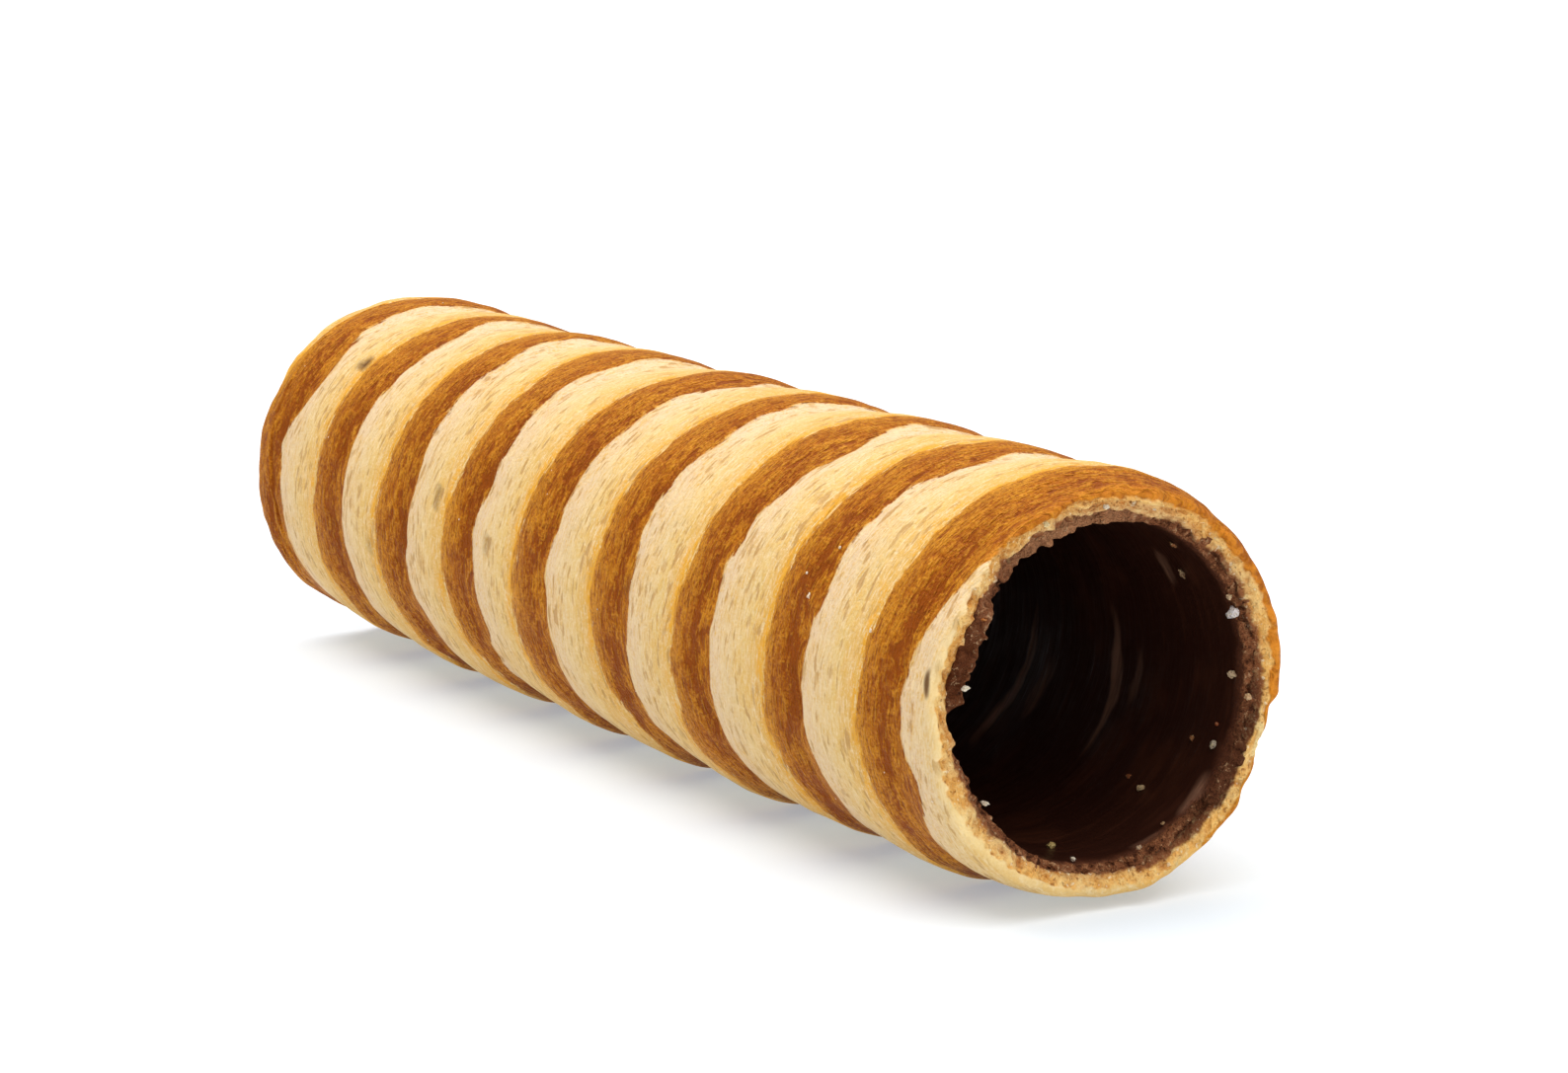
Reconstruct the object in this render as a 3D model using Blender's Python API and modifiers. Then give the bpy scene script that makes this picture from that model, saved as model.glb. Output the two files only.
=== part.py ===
"""Striped pastry tube: an open, hollow roll of two-tone baked dough with a chocolate lining.

Two solids, both lying along X and open at both ends:
  pastry_tube       the baked wall, with one raised turn for each brown and cream stripe
  chocolate_lining  the thin chocolate coat inside the bore
The tube rests on a small flat spot at z = 0, below its middle.
Angles are measured round the tube from +Y towards +Z, so that 90 degrees is the top.
"""
import math

import bmesh
import bpy
from mathutils import Matrix, Vector, noise

MM = 0.001

# Driving dimensions.
TUBE_LENGTH = 111.0 * MM
SKIN_RADIUS = 15.0 * MM          # mean radius of the outside
BORE_RADIUS = 12.95 * MM         # inside of the baked wall
FIT_GAP = 0.3 * MM               # between the wall and the chocolate
LINING_THICKNESS = 0.65 * MM

# The wound turns of dough.
TURN_PITCH = 12.8 * MM           # one brown and one cream stripe
RIDGE_HEIGHT = 0.62 * MM
CREASE_AFTER_CREST = 0.24        # share of a turn between its crest and the crease
STRIPE_START = -3.75 * MM        # where a brown stripe begins, at STRIPE_START_ANGLE
STRIPE_START_ANGLE = math.radians(160)
CREST_SHIFT = 0.10               # crest after the stripe's start, in turns
CREST_SWING = 0.09               # how much that shift varies round the tube, in turns
CREST_SWING_ANGLE = math.radians(73)

# The whole tube's form.
BELLY = 0.06 * MM                # the middle stands out by this
END_PINCH = 0.12 * MM            # the ends draw in by this
SAG = 0.35 * MM                  # the middle hangs below the ends by this
FLAT_SPOT_DEPTH = 0.38 * MM      # cut off the lowest crests
UNEVEN_SKIN = 0.16 * MM

# The broken ends.
RIM_ROUNDING = 4.5 * MM          # length over which the outside turns in
RIM_DRAW_IN = 0.48 * MM
FAR_DRAW_IN = 0.10 * MM
RIM_RAGGEDNESS = 0.55 * MM
CRUMB_FACE_DEPTH = 0.9 * MM      # the broken face leans in by this
CHIP_START = math.radians(324)   # where the near rim has lost its outer layer
CHIP_END = math.radians(349)
CHIP_DEPTH = 0.6 * MM
CHIP_LENGTH = 3.2 * MM

# The ends of the chocolate.
LINING_RECESS = 1.15 * MM        # behind the rim
LINING_RAGGEDNESS = 0.5 * MM
SLAB_START = math.radians(138)   # a slab of chocolate that reaches the near rim
SLAB_END = math.radians(179)
SLAB_REACH = 0.95 * MM
SLAB_EXTRA = 0.7 * MM            # how much thicker the slab is

# Mesh fineness.
SEGMENTS = 44
SKIN_RINGS = 64
BORE_RINGS = 9

# Where the tube's axis lies at its middle, with the lowest crests just below the floor.
AXIS_HEIGHT = SKIN_RADIUS + BELLY + 0.4 * RIDGE_HEIGHT - FLAT_SPOT_DEPTH


def clear_scene():
    for leftover in list(bpy.data.objects):
        bpy.data.objects.remove(leftover, do_unlink=True)


def new_collection(name):
    collection = bpy.data.collections.new(name)
    bpy.context.scene.collection.children.link(collection)
    return collection


def make_material(name, colour, roughness):
    material = bpy.data.materials.new(name)
    material.use_nodes = True
    shader = material.node_tree.nodes["Principled BSDF"]
    shader.inputs["Base Color"].default_value = (*colour, 1.0)
    shader.inputs["Roughness"].default_value = roughness
    shader.inputs["Metallic"].default_value = 0.0
    return material


def smooth_step(value, start, end):
    share = min(max((value - start) / (end - start), 0.0), 1.0)
    return share * share * (3.0 - 2.0 * share)


def window(angle, start, end, soft=math.radians(5)):
    """1 between two angles and 0 outside them, with soft sides."""
    return smooth_step(angle, start - soft, start) * (1.0 - smooth_step(angle, end, end + soft))


def uneven(along, angle, size, seed):
    """Smooth noise on the tube's wall, between about -1 and 1, without a seam."""
    round_radius = SKIN_RADIUS / size
    place = Vector((along / size + seed, round_radius * math.cos(angle), round_radius * math.sin(angle)))
    return 1.6 * noise.noise(place)


def turn_height(along, angle):
    """Height of the wound turns, from 0 in the crease to 1 on the crest."""
    turns = (along - STRIPE_START) / TURN_PITCH
    turns += (angle - STRIPE_START_ANGLE) / math.tau
    turns -= CREST_SHIFT + CREST_SWING * math.cos(angle - CREST_SWING_ANGLE)
    share = turns % 1.0
    if share < CREASE_AFTER_CREST:
        return math.cos(0.5 * math.pi * share / CREASE_AFTER_CREST) ** 0.8
    return math.sin(0.5 * math.pi * (share - CREASE_AFTER_CREST) / (1.0 - CREASE_AFTER_CREST)) ** 0.8


def axis_height(along):
    return AXIS_HEIGHT + SAG * (2.0 * along / TUBE_LENGTH) ** 2


def skin_offset(along, angle):
    """How far the outside stands from its profile."""
    from_middle = 2.0 * along / TUBE_LENGTH
    offset = BELLY - (BELLY + END_PINCH) * from_middle ** 2
    near_end = 0.5 * TUBE_LENGTH - abs(along)
    fade = smooth_step(near_end, 0.0, RIM_ROUNDING)
    offset += RIDGE_HEIGHT * (turn_height(along, angle) - 0.6) * (0.4 + 0.6 * fade)
    offset -= (RIM_DRAW_IN if along > 0.0 else FAR_DRAW_IN) * (1.0 - fade)
    offset += UNEVEN_SKIN * uneven(along, angle, 9.0 * MM, 3.1)
    if along > 0.0:
        worn = 1.0 - smooth_step(near_end, 0.35 * CHIP_LENGTH, CHIP_LENGTH)
        offset -= CHIP_DEPTH * worn * window(angle, CHIP_START, CHIP_END)
    return offset


def end_share(along, reach):
    """1 at either end of the tube, 0 further in than reach."""
    return 1.0 - smooth_step(0.5 * TUBE_LENGTH - abs(along), 0.0, reach)


def ragged_end(along, angle, amount):
    """Moves the material near an end along the tube, so that the rim is uneven."""
    side = math.copysign(1.0, along)
    wander = uneven(0.0, angle, 5.0 * MM, 11.0 * side) + 0.5 * uneven(0.0, angle, 2.2 * MM, 23.0 * side)
    return side * end_share(along, RIM_ROUNDING) * amount * (0.66 * wander - 0.15)


def turned_tube(profile):
    """Turns a closed (radius, along) profile about Z and lays the tube down along X."""
    mesh = bpy.data.meshes.new("profile")
    points = [(radius, 0.0, along) for radius, along in profile]
    edges = [(index, (index + 1) % len(points)) for index in range(len(points))]
    mesh.from_pydata(points, edges, [])
    turned = bpy.data.objects.new("profile", mesh)
    bpy.context.scene.collection.objects.link(turned)
    screw = turned.modifiers.new("Turn", "SCREW")
    screw.axis = "Z"
    screw.steps = SEGMENTS
    screw.render_steps = SEGMENTS
    screw.use_merge_vertices = True
    screw.merge_threshold = 0.00001
    bpy.context.view_layer.update()
    solid = bpy.data.meshes.new_from_object(turned.evaluated_get(bpy.context.evaluated_depsgraph_get()))
    bpy.data.objects.remove(turned, do_unlink=True)
    solid.transform(Matrix.Rotation(math.radians(90), 4, "Y"))
    return solid


def reshape(mesh, move):
    """Moves each point by a function of (along, angle, radius) that gives the new three."""
    body = bmesh.new()
    body.from_mesh(mesh)
    for vertex in body.verts:
        angle = math.atan2(vertex.co.z, vertex.co.y) % math.tau
        along, angle, radius = move(vertex.co.x, angle, math.hypot(vertex.co.y, vertex.co.z))
        height = axis_height(along) + radius * math.sin(angle)
        vertex.co = Vector((along, radius * math.cos(angle), height))
    bmesh.ops.recalc_face_normals(body, faces=body.faces)
    body.to_mesh(mesh)
    body.free()


def add_object(name, mesh, material, collection):
    mesh.name = name
    mesh.materials.clear()
    mesh.materials.append(material)
    mesh.shade_smooth()
    mesh.set_sharp_from_angle(angle=math.radians(40))
    made = bpy.data.objects.new(name, mesh)
    collection.objects.link(made)
    return made


def evenly(start, end, count):
    return [start + (end - start) * index / (count - 1) for index in range(count)]


def wall_profile():
    """Outside from the +X end to the -X end, then back through the bore."""
    half = 0.5 * TUBE_LENGTH
    crumb_radius = 0.5 * (SKIN_RADIUS + BORE_RADIUS)
    outside = [(SKIN_RADIUS, along) for along in evenly(half, -half, SKIN_RINGS)]
    far_face = [(crumb_radius, -half + 0.35 * CRUMB_FACE_DEPTH)]
    bore = [(BORE_RADIUS, along) for along in evenly(CRUMB_FACE_DEPTH - half, half - CRUMB_FACE_DEPTH, BORE_RINGS)]
    near_face = [(crumb_radius, half - 0.35 * CRUMB_FACE_DEPTH)]
    return outside + far_face + bore + near_face


def move_wall(along, angle, radius):
    outer_share = min(max((radius - BORE_RADIUS) / (SKIN_RADIUS - BORE_RADIUS), 0.0), 1.0)
    radius += outer_share * skin_offset(along, angle)
    along += ragged_end(along, angle, RIM_RAGGEDNESS)
    return along, angle, radius


def make_wall(collection):
    mesh = turned_tube(wall_profile())
    reshape(mesh, move_wall)
    crust = make_material("baked_dough", (0.62, 0.36, 0.13), 0.75)
    return add_object("pastry_tube", mesh, crust, collection)


def add_flat_spot(wall, cutters):
    """Levels the lowest crests at z = 0, so that the tube rests without rolling."""
    depth = 6.0 * MM
    mesh = bpy.data.meshes.new("floor_cutter")
    body = bmesh.new()
    bmesh.ops.create_cube(body, size=1.0)
    bmesh.ops.scale(body, vec=(1.2 * TUBE_LENGTH, 3.0 * SKIN_RADIUS, depth), verts=body.verts)
    bmesh.ops.translate(body, vec=(0.0, 0.0, -0.5 * depth), verts=body.verts)
    body.to_mesh(mesh)
    body.free()
    cutter = bpy.data.objects.new("floor_cutter", mesh)
    cutter.hide_render = True
    cutter.display_type = "WIRE"
    cutters.objects.link(cutter)
    cut = wall.modifiers.new("Flat spot", "BOOLEAN")
    cut.operation = "DIFFERENCE"
    cut.solver = "EXACT"
    cut.object = cutter


def lining_profile():
    half = 0.5 * TUBE_LENGTH - LINING_RECESS
    outer = BORE_RADIUS - FIT_GAP
    inner = outer - LINING_THICKNESS
    outside = [(outer, along) for along in evenly(half, -half, BORE_RINGS)]
    inside = [(inner, along) for along in evenly(-half, half, BORE_RINGS)]
    return outside + inside


def slab(along, angle):
    """1 on the slab of chocolate at the near rim, 0 elsewhere."""
    near = smooth_step(along, 0.36 * TUBE_LENGTH, 0.5 * TUBE_LENGTH - LINING_RECESS)
    return near * window(angle, SLAB_START, SLAB_END)


def move_lining(along, angle, radius):
    outer = BORE_RADIUS - FIT_GAP
    inner_share = (outer - radius) / LINING_THICKNESS
    radius -= inner_share * SLAB_EXTRA * slab(along, angle)
    along += ragged_end(along, angle, LINING_RAGGEDNESS) + SLAB_REACH * slab(along, angle)
    return along, angle, radius


def make_lining(collection):
    mesh = turned_tube(lining_profile())
    reshape(mesh, move_lining)
    chocolate = make_material("chocolate", (0.035, 0.014, 0.009), 0.35)
    return add_object("chocolate_lining", mesh, chocolate, collection)


def main():
    clear_scene()
    parts = new_collection("striped_pastry_tube")
    cutters = new_collection("cutters")
    wall = make_wall(parts)
    add_flat_spot(wall, cutters)
    make_lining(parts)


main()
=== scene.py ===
"""Looks of the striped pastry tube: baked skin, broken rims, chocolate coat, crumbs and a plain stage.

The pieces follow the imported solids' own formulas and add the fine relief and the finishes.
Angles are measured round the tube from +Y towards +Z, so that 90 degrees is the top.
Lengths are in metres, except where a name ends in _mm or a comment says millimetres.
"""
import math
import random

import bmesh
import bpy
from bpy.props import FloatProperty, FloatVectorProperty, PointerProperty
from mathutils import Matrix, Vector, noise


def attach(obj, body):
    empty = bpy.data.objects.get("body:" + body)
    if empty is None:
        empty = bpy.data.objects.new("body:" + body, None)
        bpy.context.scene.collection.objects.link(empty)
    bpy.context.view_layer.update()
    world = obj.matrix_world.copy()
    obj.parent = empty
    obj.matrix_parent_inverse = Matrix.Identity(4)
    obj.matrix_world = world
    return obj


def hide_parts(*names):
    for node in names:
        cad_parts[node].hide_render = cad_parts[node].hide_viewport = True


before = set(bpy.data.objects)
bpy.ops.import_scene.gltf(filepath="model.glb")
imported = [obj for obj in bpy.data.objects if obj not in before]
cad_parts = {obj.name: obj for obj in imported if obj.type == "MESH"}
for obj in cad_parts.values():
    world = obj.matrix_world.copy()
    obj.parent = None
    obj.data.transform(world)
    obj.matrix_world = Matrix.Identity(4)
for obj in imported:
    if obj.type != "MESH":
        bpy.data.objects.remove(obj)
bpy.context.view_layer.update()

bl_info = {
    "name": "Striped pastry tube",
    "version": (1, 0, 0),
    "blender": (4, 5, 0),
    "location": "3D View > Sidebar > Pastry",
    "description": "Models and finishes an open striped pastry tube with a chocolate coat",
    "category": "Add Mesh",
}

MM = 0.001

# Angles round the near rim where its break changes, in degrees.
CHIP = (324.0, 349.0)
SLAB = (133.0, 179.0)

# Where a stripe's edge strays from its even turn: edge (0 brown starts, 1 brown ends),
# turn, angle, reach in degrees, and how far in turns.
STRIPE_STRAYS = (
    (0, -4, 105, 15, -0.09),
    (0, -4, 172, 25, -0.08),
    (0, -4, 215, 16, 0.16),
    (0, -2, 95, 14, -0.06),
    (0, -1, 98, 18, -0.17),
    (0, 0, 195, 24, -0.05),
    (0, 1, 220, 14, 0.08),
    (0, 2, 94, 14, 0.11),
    (0, 2, 215, 12, -0.09),
    (0, 3, 92, 8, 0.14),
    (1, -4, 108, 12, -0.05),
    (1, -4, 140, 13, 0.18),
    (1, -4, 168, 12, -0.05),
    (1, -4, 222, 9, 0.18),
    (1, -3, 92, 8, -0.05),
    (1, -3, 178, 18, 0.06),
    (1, -2, 98, 12, -0.07),
    (1, -2, 128, 16, -0.05),
    (1, -2, 168, 12, 0.05),
    (1, -2, 218, 11, 0.15),
    (1, -1, 118, 20, -0.08),
    (1, -1, 172, 10, -0.07),
    (1, -1, 222, 10, -0.18),
    (1, 0, 91, 9, 0.17),
    (1, 1, 143, 14, -0.04),
    (1, 1, 213, 16, -0.09),
    (1, 1, 182, 9, 0.06),
    (1, 2, 112, 15, 0.13),
    (1, 2, 203, 14, -0.05),
    (1, 3, 98, 13, 0.11),
    (1, 3, 157, 9, 0.04),
    (1, 3, 217, 12, 0.10),
    (1, 4, 203, 10, 0.10),
    (1, 4, 88, 24, 0.15),
    (1, 4, 136, 24, 0.15),
    (1, 4, 115, 17, 0.08),
)

# Dark spots baked into the skin: place along in mm, angle, half size along and round, depth of tone.
SKIN_SPOTS = (
    (-41.9, 132.5, 0.85, 0.75, 1.0),
    (-18.6, 164.5, 0.7, 0.55, 0.62),
    (-18.2, 168.0, 0.5, 0.6, 0.55),
    (-31.2, 189.0, 0.8, 0.8, 0.32),
    (-9.8, 175.5, 0.8, 0.8, 0.36),
    (54.8, 171.5, 0.30, 0.95, 0.95),
    (48.4, 122.5, 0.3, 0.5, 0.5),
    (3.2, 161.0, 0.4, 0.6, 0.45),
    (13.4, 173.0, 0.5, 0.8, 0.32),
    (31.8, 164.0, 0.25, 0.45, 0.5),
    (44.2, 148.0, 0.25, 0.45, 0.35),
)

# Painted highlight streaks on the glossy chocolate: place along in mm, angle, reach in degrees, slant in mm,
# strength.
BORE_HIGHLIGHT_STREAKS = (
    (27.9, -27.0, 33.0, 0.2, 0.75),
    (27.4, -38.0, 11.0, 0.0, 0.35),
    (39.3, -17.0, 31.0, -0.4, 0.7),
    (31.0, -27.0, 15.0, 0.5, 0.35),
    (41.9, -12.0, 12.0, 0.0, 0.3),
    (47.2, 34.0, 9.0, 0.0, 0.45),
    (53.2, -44.0, 11.0, -0.2, 0.8),
    (54.0, -46.0, 9.0, -0.2, 0.8),
    (53.6, -66.0, 9.0, 0.6, 0.4),
)


def srgb(red, green, blue):
    """A colour given as on a screen, turned into light."""
    shares = [value / 255.0 for value in (red, green, blue)]
    return tuple(s / 12.92 if s <= 0.04045 else ((s + 0.055) / 1.055) ** 2.4 for s in shares)


def smooth_step(value, start, end):
    share = min(max((value - start) / (end - start), 0.0), 1.0)
    return share * share * (3.0 - 2.0 * share)


def window(angle, start, end, soft=math.radians(5)):
    """1 between two angles and 0 outside them, with soft sides."""
    return smooth_step(angle, start - soft, start) * (1.0 - smooth_step(angle, end, end + soft))


def around(degrees, centre, reach):
    """A soft hill of height 1 round an angle, in degrees, without a seam."""
    off = (degrees - centre + 180.0) % 360.0 - 180.0
    return math.exp(-((off / reach) ** 2))


def profile(degrees, base, *hills):
    """A value that changes round the tube: a base and hills of centre, reach and height."""
    return base + sum(height * around(degrees, centre, reach) for centre, reach, height in hills)


def blend(first, second, share):
    share = min(max(share, 0.0), 1.0)
    return tuple(a + (b - a) * share for a, b in zip(first, second))


# Fine shades that the settings below leave out.
WARM_GLINT = srgb(255, 224, 178)
COCOA_GLINT = srgb(244, 196, 168)
CRUMB_SHADOW = srgb(200, 160, 120)
# Painted shade of small hollows in the crumb.
CRUMB_HOLLOW_SHADE = srgb(150, 110, 84)
PALE_BITS = srgb(255, 240, 205)
SLAB_BROWN = srgb(98, 50, 26)
CHOCOLATE_BITS = srgb(214, 170, 128)
FLECK_SHADES = srgb(222, 186, 140), srgb(250, 236, 214)
FLOOR_SHADES = (0.635, 0.635, 0.635), (0.645, 0.645, 0.645)
SOAKED = srgb(146, 90, 56), srgb(98, 56, 36)
SOAKED_LOW = srgb(66, 34, 22)

# The rim's crumb, from the skin inwards.
CRUMB_OUTER = srgb(255, 208, 118)
CRUMB_INNER = srgb(210, 144, 74)
# How parts of the near rim differ: layer, colour, and hills of centre, reach and share in degrees.
CRUMB_TINTS = (
    ("outer", srgb(240, 166, 78), (60, 44, 0.9), (10, 26, 0.36)),
    ("outer", srgb(242, 184, 98), (225, 40, 0.7), (285, 36, 0.9)),
    ("outer", srgb(208, 140, 58), (132, 28, 0.95)),
    ("outer", srgb(230, 160, 74), (192, 34, 0.6)),
    ("outer", srgb(250, 222, 160), (338, 10, 0.85)),
    ("middle", srgb(210, 144, 66), (128, 28, 0.9), (182, 22, 0.81)),
    ("inner", srgb(226, 176, 120), (84, 34, 0.7)),
)


# ---------------------------------------------------------------- settings

def length(name, description, default):
    return FloatProperty(name=name, description=description, default=default, unit="LENGTH", precision=5)


def strength(name, description, default):
    return FloatProperty(name=name, description=description, default=default, min=0.0)


def view_angle(name, description, degrees):
    return FloatProperty(
        name=name, description=description, default=math.radians(degrees), subtype="ANGLE", unit="ROTATION")


def colour(name, description, red, green, blue):
    return FloatVectorProperty(
        name=name, description=description, default=srgb(red, green, blue), size=3, subtype="COLOR",
        min=0.0, max=1.0)


class TubeSizes(bpy.types.PropertyGroup):
    """Sizes of the tube; the first ones are the solids' own."""
    tube_length: length("Length", "Length of the baked wall", 111.0 * MM)
    skin_radius: length("Skin radius", "Mean radius of the outside", 15.0 * MM)
    bore_radius: length("Bore radius", "Inside of the baked wall", 12.95 * MM)
    turn_pitch: length("Turn pitch", "Length of one brown and one cream stripe", 12.8 * MM)
    ridge_height: length("Ridge height", "Height of each wound turn", 0.62 * MM)
    stripe_start: length("Stripe start", "Where a brown stripe begins on the front", -3.75 * MM)
    brown_share: FloatProperty(
        name="Brown share", description="Part of each turn that is brown", default=0.447, min=0.1, max=0.9)
    rim_raggedness: length("Rim raggedness", "How uneven the broken rims are", 0.55 * MM)
    groove_depth: length("Groove depth", "Extra depth of the crease between turns", 0.2 * MM)
    crease_depth: length("Crease depth", "How much deeper than the solid's the valleys are", 0.24 * MM)
    fibre_depth: length("Fibre depth", "Height of the fine ribs that run round the skin", 0.05 * MM)
    crumb_depth: length("Crumb depth", "Depth of the pits in the broken rims", 0.24 * MM)
    coat_thickness: length("Coat thickness", "Thickness of the chocolate", 0.65 * MM)
    coat_recess: length("Coat recess", "How far the chocolate stays behind the rim", 1.15 * MM)


class SkinColours(bpy.types.PropertyGroup):
    """Colours of the baked dough."""
    cream_cool: colour("Cream, cool", "Cream just after a brown stripe", 226, 196, 160)
    cream_pale: colour("Cream, pale", "Middle of a cream stripe", 226, 196, 148)
    cream_warm: colour("Cream, warm", "Cream before a brown stripe", 227, 191, 120)
    cream_light: colour("Cream, light", "Light ribs in the cream", 236, 208, 160)
    cream_baked: colour("Cream, baked", "Yellow places in the cream", 222, 174, 92)
    # Painted highlight on the cream skin where it rounds over the rim.
    cream_edge_highlight: colour("Cream, edge", "Cream skin that turns over the rim", 255, 224, 160)
    golden: colour("Golden", "Streaky line where a brown stripe begins", 228, 162, 46)
    golden_edge: colour("Golden edge", "Brown skin that turns over the rim", 232, 144, 44)
    strand: colour("Strand", "Fine golden strands in the brown", 222, 150, 50)
    brown: colour("Brown", "Main colour of the brown stripes", 184, 104, 12)
    brown_light: colour("Brown, light", "Flaky ribs on the brown stripes", 214, 142, 36)
    # Also painted as shade along the creases.
    brown_dark_and_crease_shade: colour("Brown, dark", "Pits and creases in the brown stripes", 146, 70, 8)
    pore: colour("Pore", "Small pores in the cream", 188, 142, 84)
    spot: colour("Spot", "Scorched spots", 96, 62, 34)
    crumb: colour("Crumb", "Broken inside of the dough", 244, 184, 98)
    # A paler tint of the crumb, and a painted highlight on its raised parts.
    crumb_pale_and_highlight: colour("Crumb, light", "Raised crumb", 255, 228, 162)
    # Painted shade in the crumb's pits and low places.
    crumb_pit_shade: colour("Crumb, dark", "Pits in the crumb", 184, 116, 56)


class ChocolateColours(bpy.types.PropertyGroup):
    """Colours and gloss of the chocolate coat."""
    smooth: colour("Smooth", "Inside face of the coat", 50, 25, 17)
    warm: colour("Warm", "Thin places in the coat", 70, 37, 24)
    # Painted light near the open ends, where the chocolate is also duller.
    dull: colour("Dull", "Smeared places near the ends", 104, 60, 40)
    # Painted highlight streaks on the glossy inside of the coat.
    mark: colour("Mark", "Faint marks inside the coat", 156, 112, 88)
    broken: colour("Broken", "Broken edge of the coat", 146, 90, 58)
    # Also painted as a highlight on the top of the broken edge.
    bruised_and_highlight: colour("Broken, light", "Bruised places on the broken edge", 198, 140, 98)
    gloss: FloatProperty(
        name="Roughness", description="Roughness of the smooth face", default=0.36, min=0.05, max=1.0)


class StageSettings(bpy.types.PropertyGroup):
    """Camera, lights and floor."""
    azimuth: view_angle("Azimuth", "Turn of the camera from the front", 59.43)
    elevation: view_angle("Elevation", "Height of the camera as an angle", 10.75)
    distance: length("Distance", "From the camera to the point that it looks at", 329.7 * MM)
    lens: FloatProperty(name="Lens", description="Focal length in millimetres", default=94.71, min=20.0)
    aim: FloatVectorProperty(
        name="Aim", description="Point that the camera looks at", default=(0.22 * MM, 6.71 * MM, 16.47 * MM),
        size=3, subtype="TRANSLATION", unit="LENGTH", precision=5)
    sky: strength("Surrounding light", "Strength of the even light", 0.34)
    overhead: strength("Overhead light", "Power of the wide light overhead, in watts", 92.0)
    key: strength("Key light", "Power of the softbox at the upper left, in watts", 2.2)
    end_light: strength("End light", "Power of the softbox before the open end, in watts", 0.8)


# ---------------------------------------------------------------- the tube's form

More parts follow.
